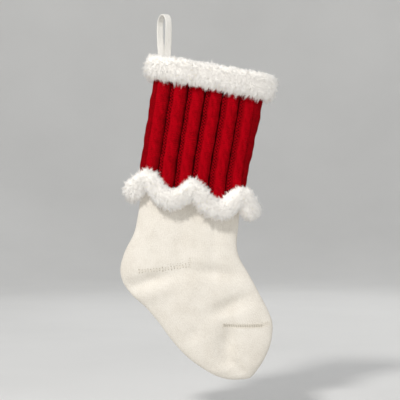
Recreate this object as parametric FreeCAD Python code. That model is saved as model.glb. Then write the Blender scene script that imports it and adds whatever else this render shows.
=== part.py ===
import FreeCAD, Part
import math
import os
from FreeCAD import Vector

# A hanging stocking, in millimetres. +Z is up and the stocking hangs in the X-Z plane, toe to +X.
# The origin is where a hook sits in the top of the hanging loop.

# Leg frame: "across" runs from heel side to toe side, "down" runs from the cuff to the foot.
LEG_TILT = math.radians(9.8)
CUFF_CENTRE = Vector(62.7, 0, -82.5)
REACH = 70.0                      # half length of every cutting prism, past both faces

# Fabric thicknesses and the gaps between layers
SLEEVE_WALL = 2.2
SOCK_WALL = 1.8
BACKING_WALL = 1.2
LAYER_GAP = 0.3
STITCH_RISE = 0.8

# Outsets from the sock's outer face
SLEEVE_INNER = LAYER_GAP
SLEEVE_OUTER = SLEEVE_INNER + SLEEVE_WALL
BACKING_INNER = SLEEVE_OUTER + LAYER_GAP
BACKING_OUTER = BACKING_INNER + BACKING_WALL

# Leg inside the sleeve, at the sleeve's outer face: down, heel edge across, toe edge across, half depth
LEG = [
    (-40, -76.1, 80.7, 17.0),
    (3, -76.1, 80.7, 17.0),
    (46, -75.8, 80.6, 17.5),
    (89, -75.2, 78.6, 18.0),
    (132, -74.4, 77.1, 18.0),
]
MOUTH_TOP = -12.0
BINDING_HEIGHT = 2.0

# Sock below the sleeve, outer face: heel or sole point (x, z), instep point (x, z), half depth
SOCK = [
    ((-33.6, -248.4), (106.0, -271.0), 14.5),
    ((-37.1, -275.2), (104.6, -290.7), 14.5),
    ((-43.4, -302.0), (102.4, -314.7), 14.5),
    ((-56.1, -327.4), (103.9, -328.8), 15.0),
    ((-61.8, -350.0), (108.9, -341.5), 15.5),
    ((-58.9, -368.3), (117.3, -355.6), 15.5),
    ((-46.2, -387.3), (125.8, -371.1), 15.5),
    ((-26.5, -405.0), (134.2, -386.6), 15.0),
    ((-9.6, -424.7), (142.0, -400.7), 14.5),
    ((8.7, -449.4), (149.0, -415.5), 13.5),
    ((29.9, -472.6), (152.6, -427.5), 12.5),
    ((53.9, -491.0), (151.9, -445.8), 11.0),
    ((76.4, -503.0), (146.9, -465.6), 9.0),
    ((97.6, -507.3), (137.0, -485.3), 6.5),
]
TOE_TIP = ((113.0, -506.6), (126.5, -500.0), 3.0)
TOE_CAVITY_END = ((88.0, -504.5), (140.5, -478.0), 7.5)

# Cuff fur, outer face: down, half width, half depth
CUFF_MIDDLE = 2.3
CUFF = [(-26, 79.0, 18.0), (-13, 89.0, 27.5), (0, 91.0, 29.0), (12, 89.5, 28.0), (25, 80.0, 19.0)]
CUFF_TOP = -14.5
CUFF_BOTTOM = 15.0

# Scalloped hem: a wavy roll with three humps and two valleys on each face
HEM_MIDDLE = 5.4
HEM_HALF_WIDTH = 95.0
HEM_HALF_DEPTH = 35.0
HEM_LEVEL = 167.0
HEM_TURNS = [                     # across and down, where the hem's middle line turns
    (-87.0, 174.0), (-62.1, 156.0), (-26.4, 177.5), (2.7, 158.5), (38.8, 181.0), (69.6, 157.5),
    (92.0, 174.5),
]
HEM_HALF_HEIGHT = 14.0
SLEEVE_END = 6.0                  # sleeve edge, below the middle line of the hem
BINDING_END = 9.5

# Section lines of the foot, as (x, z)
HEEL_VERTEX = (35.5, -345.7)
HEEL_UPPER = (-37.8, -354.2)
HEEL_LOWER = (-16.0, -416.0)
ANKLE_FRONT = (150.0, -352.0)
TOE_VERTEX = (81.8, -429.6)
TOE_INSTEP = (152.3, -425.4)
TOE_GORE = [TOE_VERTEX, (86.3, -448.0), (95.5, -460.0), (118.0, -500.0)]
SEAM_WIDTH = 2.6
SEAM_HALF_GAP = 1.5

# Hanging loop: a flat tape, twisted between its sewn ends and its turned eye
TAPE_WIDTH = 9.5
TAPE_THICKNESS = 2.0
EYE_TURN = 62.0                   # degrees from +Y to the tape's width, in the eye
EYE_RADIUS = 13.5
EYE_CENTRE_Z = -6.7
HINGE = Vector(0.5, 0, -53.0)
LOOP_END = HINGE.z + 1.6
LEG_STATIONS = [                  # height, heel-side x, toe-side x, half spread in y, turn
    (LOOP_END, -3.9, 4.8, 1.2, 90.0),
    (-42.0, -4.7, 5.0, 2.2, 85.0),
    (-31.0, -5.6, 5.8, 5.4, 76.0),
    (-19.0, -6.2, 6.2, 9.6, 67.0),
]
TAIL_WIDTH = 12.0
TAIL_THICKNESS = 2.4
TAIL_END = -79.0
TAIL_CENTRE_X = 2.0
TACK_HEIGHT = 3.0
TACK_WIDTH = 9.0
TACK_CENTRE_X = 3.0
TACK_Z = -70.0


def leg_point(across, down, depth=0.0):
    """Point in the leg frame, as a point of the part."""
    x = across * math.cos(LEG_TILT) - down * math.sin(LEG_TILT)
    z = -across * math.sin(LEG_TILT) - down * math.cos(LEG_TILT)
    return CUFF_CENTRE + Vector(x, depth, z)


def oval(side_a, side_b, half_depth, outset=0.0):
    """Elliptical section between two side points, made larger by the outset."""
    centre = (side_a + side_b) * 0.5
    half = side_b - centre
    half = half * ((half.Length + outset) / half.Length)
    depth = Vector(0, half_depth + outset, 0)
    ellipse = Part.Ellipse(centre + half, centre + depth, centre)
    return Part.Wire(ellipse.toShape())


def leg_oval(station, outset):
    down, heel, toe, half_depth = station
    return oval(leg_point(heel, down), leg_point(toe, down), half_depth, outset - SLEEVE_OUTER)


def foot_oval(station, outset):
    heel, toe, half_depth = station
    return oval(Vector(heel[0], 0, heel[1]), Vector(toe[0], 0, toe[1]), half_depth, outset)


def body(outset, toe_end=(SOCK[-1], TOE_TIP)):
    """Everything inside a surface that keeps an even distance from the sock's outer face."""
    sections = [leg_oval(station, outset) for station in LEG]
    sections += [foot_oval(station, outset) for station in SOCK[:-1]]
    sections += [foot_oval(station, outset) for station in toe_end]
    return Part.makeLoft(sections, True, False)


def prism(edges):
    """Cutting solid: a closed outline at y = 0, drawn out past the front and the back."""
    outline = Part.Wire(edges)
    outline.translate(Vector(0, -REACH, 0))
    return Part.Face(outline).extrude(Vector(0, 2 * REACH, 0))


def polygon_prism(points):
    corners = [Vector(x, 0, z) for x, z in points]
    return prism([Part.makeLine(a, b) for a, b in zip(corners, corners[1:] + corners[:1])])


def leg_band(down_top, down_bottom):
    """Cutting solid for everything between two levels of the leg."""
    width = 300.0
    corners = [
        leg_point(-width, down_top),
        leg_point(width, down_top),
        leg_point(width, down_bottom),
        leg_point(-width, down_bottom),
    ]
    return prism([Part.makeLine(a, b) for a, b in zip(corners, corners[1:] + corners[:1])])


def hem_level(across):
    """Level of the hem's middle line, in half cosine waves from one turn to the next."""
    across = min(max(across, HEM_TURNS[0][0]), HEM_TURNS[-1][0])
    for (left, start), (right, end) in zip(HEM_TURNS, HEM_TURNS[1:]):
        if across <= right:
            share = (across - left) / (right - left)
            break
    return start + (end - start) * (1 - math.cos(math.pi * share)) / 2


def wave_edge(offset):
    """A copy of the hem's middle line, moved down by the offset."""
    points = []
    steps = 64
    for step in range(steps + 1):
        across = HEM_MIDDLE + HEM_HALF_WIDTH * 1.15 * (2.0 * step / steps - 1.0)
        points.append(leg_point(across, hem_level(across) + offset))
    curve = Part.BSplineCurve()
    curve.interpolate(points)
    return curve.toShape()


def wave_band(offset_top, offset_bottom):
    """Cutting solid between two copies of the wave."""
    top = wave_edge(offset_top)
    bottom = wave_edge(offset_bottom)
    left = Part.makeLine(top.Vertexes[0].Point, bottom.Vertexes[0].Point)
    right = Part.makeLine(top.Vertexes[-1].Point, bottom.Vertexes[-1].Point)
    return prism([top, right, bottom, left])


def strip(start, end, width):
    """Cutting solid along a straight line between two (x, z) points."""
    a = Vector(start[0], 0, start[1])
    b = Vector(end[0], 0, end[1])
    side = (b - a).cross(Vector(0, 1, 0)).normalize() * (width / 2)
    corners = [a + side, b + side, b - side, a - side]
    return prism([Part.makeLine(p, q) for p, q in zip(corners, corners[1:] + corners[:1])])


def dashes(start, end, length, gap, width):
    """Short strips in a row along a straight line."""
    a = Vector(start[0], 0, start[1])
    b = Vector(end[0], 0, end[1])
    run = b - a
    count = int(run.Length / (length + gap))
    run.normalize()
    made = []
    for index in range(count):
        first = a + run * (index * (length + gap))
        last = first + run * length
        made.append(strip((first.x, first.z), (last.x, last.z), width))
    return made


def depth_slab(depth_from, depth_to):
    """Box round the whole stocking between two depths."""
    size = 800.0
    return Part.makeBox(size, depth_to - depth_from, size, Vector(-size / 2, depth_from, -0.8 * size))


def beyond(start, through, factor):
    """The point on the ray from start through another point, factor times as far."""
    return tuple(s + (t - s) * factor for s, t in zip(start, through))


def export(shape, name):
    solids = shape.Solids
    made = solids[0] if len(solids) == 1 else Part.makeCompound(solids)
    print(f"{name:24s} {len(solids):3d} solids {made.Volume / 1000:9.2f} cm3 valid {made.isValid()}")
    made.exportStep(f"parts/{name}.step")
    return made


def tape_stations():
    """Centre and width direction of the tape, from one sewn end over the eye to the other."""
    stations = []
    for height, heel_x, toe_x, spread, turn in LEG_STATIONS:
        stations.append((Vector(heel_x, spread, height), turn))
    plane = Vector(math.cos(math.radians(EYE_TURN)), -math.sin(math.radians(EYE_TURN)), 0)
    for degrees in (180, 145, 115, 90, 65, 35, 0):
        angle = math.radians(degrees)
        centre = plane * (EYE_RADIUS * math.cos(angle))
        centre.z = EYE_CENTRE_Z + EYE_RADIUS * math.sin(angle)
        stations.append((centre, EYE_TURN))
    for height, heel_x, toe_x, spread, turn in reversed(LEG_STATIONS):
        stations.append((Vector(toe_x, -spread, height), turn))
    return stations


def tape_corners(stations):
    """The four corner points of the tape's section at every station."""
    rows = []
    for index, (centre, turn) in enumerate(stations):
        before = stations[max(index - 1, 0)][0]
        after = stations[min(index + 1, len(stations) - 1)][0]
        run = (after - before).normalize()
        wide = Vector(math.sin(math.radians(turn)), math.cos(math.radians(turn)), 0)
        if index in (0, len(stations) - 1):
            run = Vector(0, 0, math.copysign(1, run.z))
        thick = run.cross(wide).normalize() * (TAPE_THICKNESS / 2)
        wide = wide * (TAPE_WIDTH / 2)
        rows.append([centre + wide + thick, centre - wide + thick,
                     centre - wide - thick, centre + wide - thick])
    return rows


def make_loop():
    rows = tape_corners(tape_stations())
    sections = [Part.Wire(Part.makePolygon(row + [row[0]])) for row in rows]
    export(Part.makeLoft(sections, True, False), "hanging_loop")


def make_tail(lining):
    """Tail of the tape; its top edge is round, so that it turns under the loop's ends."""
    left = TAIL_CENTRE_X - TAIL_WIDTH / 2
    plate = Part.makeBox(TAIL_WIDTH, TAIL_THICKNESS, HINGE.z - TAIL_END)
    plate.translate(Vector(left, -TAIL_THICKNESS / 2, TAIL_END))
    fold = Part.makeCylinder(TAIL_THICKNESS / 2, TAIL_WIDTH, Vector(left, 0, HINGE.z), Vector(1, 0, 0))
    plate = plate.fuse(fold).removeSplitter()
    inside = max(plate.cut(lining).Solids, key=lambda solid: solid.Volume)
    export(inside, "loop_tail")
    tack = Part.makeBox(TACK_WIDTH, STITCH_RISE, TACK_HEIGHT)
    tack.translate(Vector(TACK_CENTRE_X - TACK_WIDTH / 2, -TAIL_THICKNESS / 2 - STITCH_RISE, TACK_Z))
    export(tack, "loop_bar_tack")


def make_cuff(sleeve_clear, backing):
    sections = []
    for down, half_width, half_depth in CUFF:
        heel = leg_point(CUFF_MIDDLE - half_width, down)
        toe = leg_point(CUFF_MIDDLE + half_width, down)
        sections.append(oval(heel, toe, half_depth))
    pile = Part.makeLoft(sections, True, False).cut(backing)
    export(pile.common(leg_band(CUFF_TOP, CUFF_BOTTOM)), "cuff_pile")
    backing_band = leg_band(MOUTH_TOP - BINDING_HEIGHT, CUFF_BOTTOM - BINDING_HEIGHT)
    export(backing.cut(sleeve_clear).common(backing_band), "cuff_backing")


def make_sleeve(wall):
    """Front and back panels of the sleeve, and the seam strips that join them."""
    panel = wall.common(leg_band(MOUTH_TOP, HEM_LEVEL + 40)).common(wave_band(-HEM_LEVEL - 60, SLEEVE_END))
    export(panel.common(depth_slab(-REACH, -SEAM_HALF_GAP)), "knit_sleeve_front")
    export(panel.common(depth_slab(SEAM_HALF_GAP, REACH)), "knit_sleeve_back")
    strips = panel.common(depth_slab(-SEAM_HALF_GAP, SEAM_HALF_GAP)).Solids
    strips.sort(key=lambda solid: solid.CenterOfMass.x)
    export(strips[0], "sleeve_seam_heel_side")
    export(strips[-1], "sleeve_seam_toe_side")
    export(wall.common(wave_band(SLEEVE_END, BINDING_END)), "hem_binding")


def make_hem(sleeve_clear):
    sections = []
    for down in (HEM_LEVEL - 45, HEM_LEVEL + 30):
        heel = leg_point(HEM_MIDDLE - HEM_HALF_WIDTH, down)
        toe = leg_point(HEM_MIDDLE + HEM_HALF_WIDTH, down)
        sections.append(oval(heel, toe, HEM_HALF_DEPTH))
    fur = Part.makeLoft(sections, True, False).cut(sleeve_clear)
    export(fur.common(wave_band(-HEM_HALF_HEIGHT, HEM_HALF_HEIGHT)), "hem_fur")


def make_sock(tube):
    wall = tube.common(leg_band(MOUTH_TOP, 500))
    heel = polygon_prism([HEEL_VERTEX, beyond(HEEL_VERTEX, HEEL_UPPER, 2.0),
                          beyond(HEEL_VERTEX, HEEL_LOWER, 2.0)])
    toe_far = beyond(TOE_GORE[-2], TOE_GORE[-1], 2.0)
    instep_far = beyond(TOE_VERTEX, TOE_INSTEP, 2.0)
    toe = polygon_prism(TOE_GORE[:-1] + [toe_far, (instep_far[0], toe_far[1]), instep_far])
    side = 260.0
    leg = polygon_prism([beyond(HEEL_VERTEX, HEEL_UPPER, 4.0), HEEL_VERTEX, ANKLE_FRONT,
                         (side, ANKLE_FRONT[1]), (side, 0), (-side, 0), (-side, ANKLE_FRONT[1])])
    export(wall.common(leg), "sock_leg")
    export(wall.common(heel), "heel_pocket")
    export(wall.common(toe), "toe_cap")
    export(wall.cut(leg).cut(heel).cut(toe), "sock_foot")


def make_stitches(skin):
    """Raised threads along the section lines of the foot, on both faces."""
    seam = strip(beyond(TOE_VERTEX, TOE_INSTEP, -0.02), beyond(TOE_VERTEX, TOE_INSTEP, 1.2), SEAM_WIDTH)
    toe_seam = export(skin.common(seam), "toe_seam")
    heel = dashes(HEEL_VERTEX, HEEL_UPPER, 2.4, 2.8, 1.2)
    export(skin.common(Part.makeCompound(heel)), "heel_gore_stitches")
    toe = []
    for start, end in zip(TOE_GORE, TOE_GORE[1:]):
        toe += dashes(start, end, 2.0, 2.6, 1.2)
    export(skin.common(Part.makeCompound(toe)).cut(toe_seam), "toe_gore_stitches")


def main():
    os.makedirs("parts", exist_ok=True)
    sock = body(0.0)
    cavity = body(-SOCK_WALL, (TOE_CAVITY_END,))
    sleeve = body(SLEEVE_OUTER)
    sleeve_clear = body(BACKING_INNER)
    sock_tube = sock.cut(cavity)
    make_loop()
    make_tail(sock_tube)
    make_cuff(sleeve_clear, body(BACKING_OUTER))
    make_sleeve(sleeve.cut(body(SLEEVE_INNER)))
    make_hem(sleeve_clear)
    make_sock(sock_tube)
    make_stitches(body(STITCH_RISE).cut(sock))
    rim = sleeve.cut(cavity)
    export(rim.common(leg_band(MOUTH_TOP - BINDING_HEIGHT, MOUTH_TOP)), "mouth_binding")


main()
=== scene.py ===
"""Hanging stocking: the final looks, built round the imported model.

Shapes are worked out in millimetres in the model's own frame and scaled to metres
when a mesh is made. "f" is the place round the leg, from 0 to 1: 0 is the heel side,
0.25 the middle of the front, 0.5 the toe side and 0.75 the middle of the back.
"along" is the distance from the middle of the cuff towards the toe.
"""
import math

import bpy
import numpy as np
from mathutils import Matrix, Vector


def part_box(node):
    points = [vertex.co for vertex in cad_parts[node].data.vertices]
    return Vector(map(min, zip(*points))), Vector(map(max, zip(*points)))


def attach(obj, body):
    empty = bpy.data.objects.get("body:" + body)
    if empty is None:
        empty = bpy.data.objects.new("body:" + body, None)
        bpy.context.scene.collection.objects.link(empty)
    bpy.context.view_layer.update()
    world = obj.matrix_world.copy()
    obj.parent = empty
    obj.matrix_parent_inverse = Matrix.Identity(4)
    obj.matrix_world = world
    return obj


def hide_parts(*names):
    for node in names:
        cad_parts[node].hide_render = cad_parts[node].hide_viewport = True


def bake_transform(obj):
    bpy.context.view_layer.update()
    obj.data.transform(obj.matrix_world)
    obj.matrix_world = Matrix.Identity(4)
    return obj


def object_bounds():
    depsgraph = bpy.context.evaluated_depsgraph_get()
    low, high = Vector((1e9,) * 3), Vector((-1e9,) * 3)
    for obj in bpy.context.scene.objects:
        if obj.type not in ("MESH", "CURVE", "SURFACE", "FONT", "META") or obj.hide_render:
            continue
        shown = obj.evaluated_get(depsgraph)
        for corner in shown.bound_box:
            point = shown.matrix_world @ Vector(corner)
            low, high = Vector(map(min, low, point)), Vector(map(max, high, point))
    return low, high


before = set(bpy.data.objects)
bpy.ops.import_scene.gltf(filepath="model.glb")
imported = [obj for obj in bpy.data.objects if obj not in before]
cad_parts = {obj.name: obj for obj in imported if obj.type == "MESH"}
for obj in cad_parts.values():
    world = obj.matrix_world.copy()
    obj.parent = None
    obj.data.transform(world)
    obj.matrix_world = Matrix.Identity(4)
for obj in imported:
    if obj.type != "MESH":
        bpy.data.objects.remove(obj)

CAD_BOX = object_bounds()
MM = 0.001
TURN = 2 * math.pi

# ---- shared outline

LEG_TILT = math.radians(9.8)
CUFF_CENTRE = np.array([62.7, -82.5])
ACROSS = np.array([math.cos(LEG_TILT), -math.sin(LEG_TILT)])
DOWN = np.array([-math.sin(LEG_TILT), -math.cos(LEG_TILT)])

# Leg at the sleeve's outer face: down, heel edge across, toe edge across, half depth
LEG = [
    (-40, -76.1, 80.7, 17.0),
    (3, -76.1, 80.7, 17.0),
    (46, -75.8, 80.6, 17.5),
    (89, -75.2, 78.6, 18.0),
    (132, -74.4, 77.1, 18.0),
]
# Sock below the sleeve: heel or sole point (x, z), instep point (x, z), half depth
SOCK = [
    ((-33.6, -248.4), (106.0, -271.0), 14.5),
    ((-37.1, -275.2), (104.6, -290.7), 14.5),
    ((-43.4, -302.0), (102.4, -314.7), 14.5),
    ((-56.1, -327.4), (103.9, -328.8), 15.0),
    ((-61.8, -350.0), (108.9, -341.5), 15.5),
    ((-58.9, -368.3), (117.3, -355.6), 15.5),
    ((-46.2, -387.3), (125.8, -371.1), 15.5),
    ((-26.5, -405.0), (134.2, -386.6), 15.0),
    ((-9.6, -424.7), (142.0, -400.7), 14.5),
    ((8.7, -449.4), (149.0, -415.5), 13.5),
    ((29.9, -472.6), (152.6, -427.5), 12.5),
    ((53.9, -491.0), (151.9, -445.8), 11.0),
    ((76.4, -503.0), (146.9, -465.6), 9.0),
    ((97.6, -507.3), (137.0, -485.3), 6.5),
    ((113.0, -506.6), (126.5, -500.0), 3.0),
]
SLEEVE_STACK = 2.5  # sleeve's outer face above the sock's outer face
SECTION_POWER = 2.35  # 2 is an ellipse, more is fuller at the sides
USUAL_HALF_WIDTH = 78  # section that points are spaced evenly round
USUAL_HALF_DEPTH = 16
FIRST_FOOT_SECTION = 5
FACE_SAMPLES = 1500
MOUTH_TOP = -12.0
LINING = 1.8

HEM_LEVEL = 167.0  # mean level of the hem, and how far it swings up and down
HEM_WAVE = 11.0
HEM_LINE = [  # f, level of the hem's middle line: turns from valley to hump
    (0.0, 174.0), (0.073, 156.0), (0.172, 177.5), (0.258, 158.5), (0.364, 181.0), (0.448, 157.5),
    (0.5, 174.5),
]

HEEL_VERTEX = np.array([35.5, -345.7])
HEEL_UPPER = np.array([-37.8, -354.2])
HEEL_LOWER = np.array([-16.0, -416.0])
TOE_VERTEX = np.array([81.8, -429.6])
TOE_INSTEP = np.array([152.3, -425.4])
TOE_GORE = [(81.8, -429.6), (86.3, -448.0), (95.5, -460.0), (118.0, -500.0)]
TOE_SEAM = [(81.8, -429.6), (108.0, -430.6), (135.6, -430.3), (149.6, -426.6)]


def smooth(knots, values, at):
    """Cubic curve through values at the knots, with slopes taken from the neighbours."""
    values = np.asarray(values, float)
    slopes = np.gradient(values, knots, axis=0)
    at = np.asarray(at, float)
    low = np.clip(np.searchsorted(knots, at, side="right") - 1, 0, len(knots) - 2)
    gap = knots[low + 1] - knots[low]
    t = (at - knots[low]) / gap
    if values.ndim > 1:
        t, gap = t[..., None], gap[..., None]
    start = values[low] * (1 + 2 * t) * (1 - t) ** 2 + slopes[low] * gap * t * (1 - t) ** 2
    end = values[low + 1] * t * t * (3 - 2 * t) - slopes[low + 1] * gap * t * t * (1 - t)
    return start + end


def step_between(low, high, x):
    """Soft step from 0 at low to 1 at high."""
    t = np.clip((x - low) / (high - low), 0, 1)
    return t * t * (3 - 2 * t)


def unit(vectors):
    """The same directions, with a length of one."""
    return vectors / (np.linalg.norm(vectors, axis=-1)[..., None] + 1e-9)


def knots_along(route):
    """Distance along a route at each of its points."""
    steps = np.linalg.norm(np.diff(route, axis=0), axis=1)
    return np.concatenate([[0], np.cumsum(steps)])


def sections():
    """Heel side, toe side and half depth of the sock's outer face, with their distances along."""
    heel, toe, depth = [], [], []
    for down, heel_across, toe_across, half_depth in LEG:
        heel.append(CUFF_CENTRE + ACROSS * (heel_across + SLEEVE_STACK) + DOWN * down)
        toe.append(CUFF_CENTRE + ACROSS * (toe_across - SLEEVE_STACK) + DOWN * down)
        depth.append(half_depth - SLEEVE_STACK)
    for heel_point, toe_point, half_depth in SOCK:
        heel.append(np.array(heel_point))
        toe.append(np.array(toe_point))
        depth.append(half_depth)
    heel, toe, depth = np.array(heel), np.array(toe), np.array(depth)
    return heel, toe, depth, LEG[0][0] + knots_along((heel + toe) / 2)


HEEL_SIDE, TOE_SIDE, HALF_DEPTH, ALONG = sections()


def oval(angle, power=2 / SECTION_POWER):
    """Cosine and sine drawn out to the corners: a power of 1 is a circle, less is boxier."""
    c, s = np.cos(angle), np.sin(angle)
    return np.sign(c) * np.abs(c) ** power, np.sign(s) * np.abs(s) ** power


def arc_table():
    """Angle of the oval against the even fraction of its length, for a typical section."""
    angle = np.linspace(0, TURN, 8001)
    c, s = oval(angle)
    step = np.hypot(np.diff(c) * USUAL_HALF_WIDTH, np.diff(s) * USUAL_HALF_DEPTH)
    length = np.concatenate([[0], np.cumsum(step)])
    return length / length[-1], angle


ARC_FRACTION, ARC_ANGLE = arc_table()


def skin(f, along, outset):
    """Points at an even height above the sock's outer face."""
    f, along, outset = np.broadcast_arrays(f, along, outset)
    heel = smooth(ALONG, HEEL_SIDE, along)
    toe = smooth(ALONG, TOE_SIDE, along)
    depth = smooth(ALONG, HALF_DEPTH, along)
    centre, half = (heel + toe) / 2, (toe - heel) / 2
    length = np.linalg.norm(half, axis=-1)
    half = half * ((length + outset) / length)[..., None]
    c, s = oval(np.interp(f % 1.0, ARC_FRACTION, ARC_ANGLE))
    flat = centre - half * c[..., None]
    return np.stack([flat[..., 0], -(depth + outset) * s, flat[..., 1]], axis=-1)


def side_distance(f):
    """Distance to the nearest side of the leg, as a share of the way round."""
    return np.minimum(f % 0.5, 0.5 - f % 0.5)


def face_depth(x, z):
    """Distance of the sock's face from the middle plane, under a point of the front view."""
    along = np.linspace(ALONG[FIRST_FOOT_SECTION], ALONG[-1] - 1, FACE_SAMPLES)
    heel, toe = smooth(ALONG, HEEL_SIDE, along), smooth(ALONG, TOE_SIDE, along)
    run, rel = toe - heel, np.array([x, z]) - heel
    off = np.abs(run[:, 0] * rel[:, 1] - run[:, 1] * rel[:, 0]) / np.linalg.norm(run, axis=1)
    best = int(np.argmin(off))
    c = 2 * float(rel[best] @ run[best] / (run[best] @ run[best])) - 1
    rest = max(0.0, 1 - abs(c) ** SECTION_POWER)
    return float(smooth(ALONG, HALF_DEPTH, along[best])) * rest ** (1 / SECTION_POWER)


# ---- mesh helpers

def new_object(name, vertices, *face_groups):
    """Mesh object from points in millimetres and arrays of faces with equal corner counts."""
    mesh = bpy.data.meshes.new(name)
    vertices = np.asarray(vertices, np.float32).reshape(-1, 3) * MM
    corners = np.concatenate([faces.ravel() for faces in face_groups]).astype(np.int32)
    sizes = np.concatenate([np.full(len(faces), faces.shape[1]) for faces in face_groups])
    starts = (np.cumsum(sizes) - sizes).astype(np.int32)
    mesh.vertices.add(len(vertices))
    mesh.vertices.foreach_set("co", vertices.ravel())
    mesh.loops.add(len(corners))
    mesh.loops.foreach_set("vertex_index", corners)
    mesh.polygons.add(len(sizes))
    mesh.polygons.foreach_set("loop_start", starts)
    mesh.polygons.foreach_set("use_smooth", np.ones(len(sizes), bool))
    mesh.update(calc_edges=True)
    mesh.validate()
    made = bpy.data.objects.new(name, mesh)
    bpy.context.collection.objects.link(made)
    return made


def grid_faces(rows, columns, closed_rows=False, closed_columns=False):
    """Quads of a grid of points stored row by row."""
    row = np.arange(rows if closed_rows else rows - 1)
    column = np.arange(columns if closed_columns else columns - 1)
    r, c = np.meshgrid(row, column, indexing="ij")
    r2, c2 = (r + 1) % rows, (c + 1) % columns
    corners = [r * columns + c, r * columns + c2, r2 * columns + c2, r2 * columns + c]
    return np.stack(corners, axis=-1).reshape(-1, 4)


def store_cloth(made, across, along, shade=0.5):
    """Keeps the place on the flat cloth and the shade at every point, for the material; on the knit
    the shade is painted light and shade from the relief.
    """
    values = np.stack(np.broadcast_arrays(across, along, shade), axis=-1)
    attribute = made.data.attributes.new("cloth", "FLOAT_VECTOR", "POINT")
    attribute.data.foreach_set("vector", values.astype(np.float32).ravel())


NOT_ALONG_ANY_THREAD = np.array([0.13, 1.0, 0.21])
THREAD_END_SHARE = 0.45


def tube(points, radius, sides, flat):
    """Tube along points, narrower at its ends; flat below 1 makes it thinner in depth."""
    points = np.asarray(points, float)
    run = unit(np.gradient(points, axis=0))
    side = unit(np.cross(run, NOT_ALONG_ANY_THREAD))
    out = np.cross(side, run)
    taper = np.ones(len(points))
    taper[[0, -1]] = THREAD_END_SHARE
    angle = np.arange(sides) * TURN / sides
    ring = np.cos(angle)[None, :, None] * side[:, None, :]
    ring = ring + flat * np.sin(angle)[None, :, None] * out[:, None, :]
    vertices = points[:, None, :] + ring * (radius * taper)[:, None, None]
    quads = grid_faces(len(points), sides, closed_columns=True)
    first = np.arange(sides)[None, :]
    last = first[:, ::-1] + (len(points) - 1) * sides
    return vertices.reshape(-1, 3), quads, np.concatenate([first, last])


def threads(name, lines, radius, sides=6, flat=1.0):
    """One object of many short threads."""
    vertices, quads, caps, count = [], [], [], 0
    for line in lines:
        points, faces, ends = tube(line, radius, sides, flat)
        vertices.append(points)
        quads.append(faces + count)
        caps.append(ends + count)
        count += len(points)
    return new_object(name, np.concatenate(vertices), np.concatenate(quads), np.concatenate(caps))


def finish_piece(made, slot, material, *nodes, body="stocking"):
    """Gives a piece its material, hangs it under its body's empty, and hides the model's parts that
    it replaces.
    """
    made.data.materials.append(material)
    if body:
        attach(made, body)
    if nodes:
        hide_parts(*nodes)


# ---- materials

def node(material, kind, **values):
    """New shader node with its properties set."""
    made = material.node_tree.nodes.new(kind)
    for name, value in values.items():
        setattr(made, name, value)
    return made


def new_material(name, roughness, sheen, sheen_tint):
    """Matt cloth to start from: low highlights and a soft sheen."""
    material = bpy.data.materials.new(name)
    material.use_nodes = True
    shader = material.node_tree.nodes["Principled BSDF"]
    shader.inputs["Roughness"].default_value = roughness
    shader.inputs["Sheen Weight"].default_value = sheen
    shader.inputs["Sheen Roughness"].default_value = 0.45
    shader.inputs["Sheen Tint"].default_value = (*sheen_tint, 1)
    shader.inputs["Specular IOR Level"].default_value = 0.25
    return material, shader


def link(material, start, end):
    """Joins two sockets."""
    material.node_tree.links.new(start, end)


def cloth_axes(material):
    """Sockets with the place on the flat cloth: across and along, in millimetres, and the shade
    stored from the relief, which on the knit is painted light and shade.
    """
    read = node(material, "ShaderNodeAttribute", attribute_name="cloth")
    split = node(material, "ShaderNodeSeparateXYZ")
    link(material, read.outputs["Vector"], split.inputs[0])
    return split.outputs


def combine(material, operation, *values):
    """Maths node over sockets and plain numbers."""
    made = node(material, "ShaderNodeMath", operation=operation)
    for index, value in enumerate(values):
        if isinstance(value, (int, float)):
            made.inputs[index].default_value = value
        else:
            link(material, value, made.inputs[index])
    return made.outputs[0]


def total(material, *terms, start=0.0):
    """Sum of (socket, weight) terms and a starting number."""
    result = start
    for socket, weight in terms:
        result = combine(material, "MULTIPLY_ADD", socket, weight, result)
    return result


def sine(material, socket, pitch):
    """Wave of the given pitch, from -1 to 1."""
    return combine(material, "SINE", total(material, (socket, TURN / pitch)))


def noise(material, scale, detail=3.0, roughness=0.55):
    """Noise over the object's own space; scale is in cells per metre."""
    place = node(material, "ShaderNodeTexCoord")
    made = node(material, "ShaderNodeTexNoise")
    made.inputs["Scale"].default_value = scale
    made.inputs["Detail"].default_value = detail
    made.inputs["Roughness"].default_value = roughness
    link(material, place.outputs["Object"], made.inputs["Vector"])
    return made.outputs["Fac"]


def colour_ramp(material, factor, stops):
    """Colour from a list of (place, colour) stops."""
    ramp = node(material, "ShaderNodeValToRGB")
    while len(ramp.color_ramp.elements) < len(stops):
        ramp.color_ramp.elements.new(0.5)
    for element, (place, colour) in zip(ramp.color_ramp.elements, stops):
        element.position = place
        element.color = (*colour, 1)
    link(material, factor, ramp.inputs["Fac"])
    return ramp.outputs["Color"]


def bump(material, shader, height, distance, strength):
    """Fine relief that only the light sees; distance is in metres."""
    made = node(material, "ShaderNodeBump")
    made.inputs["Strength"].default_value = strength
    made.inputs["Distance"].default_value = distance
    link(material, height, made.inputs["Height"])
    link(material, made.outputs["Normal"], shader.inputs["Normal"])


JERSEY_WALE = 3.3  # width of a column of stitches, and height of a row
JERSEY_COURSE = 2.9
WOOL_PLY = 0.9  # twist of the sleeve's yarn


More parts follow.
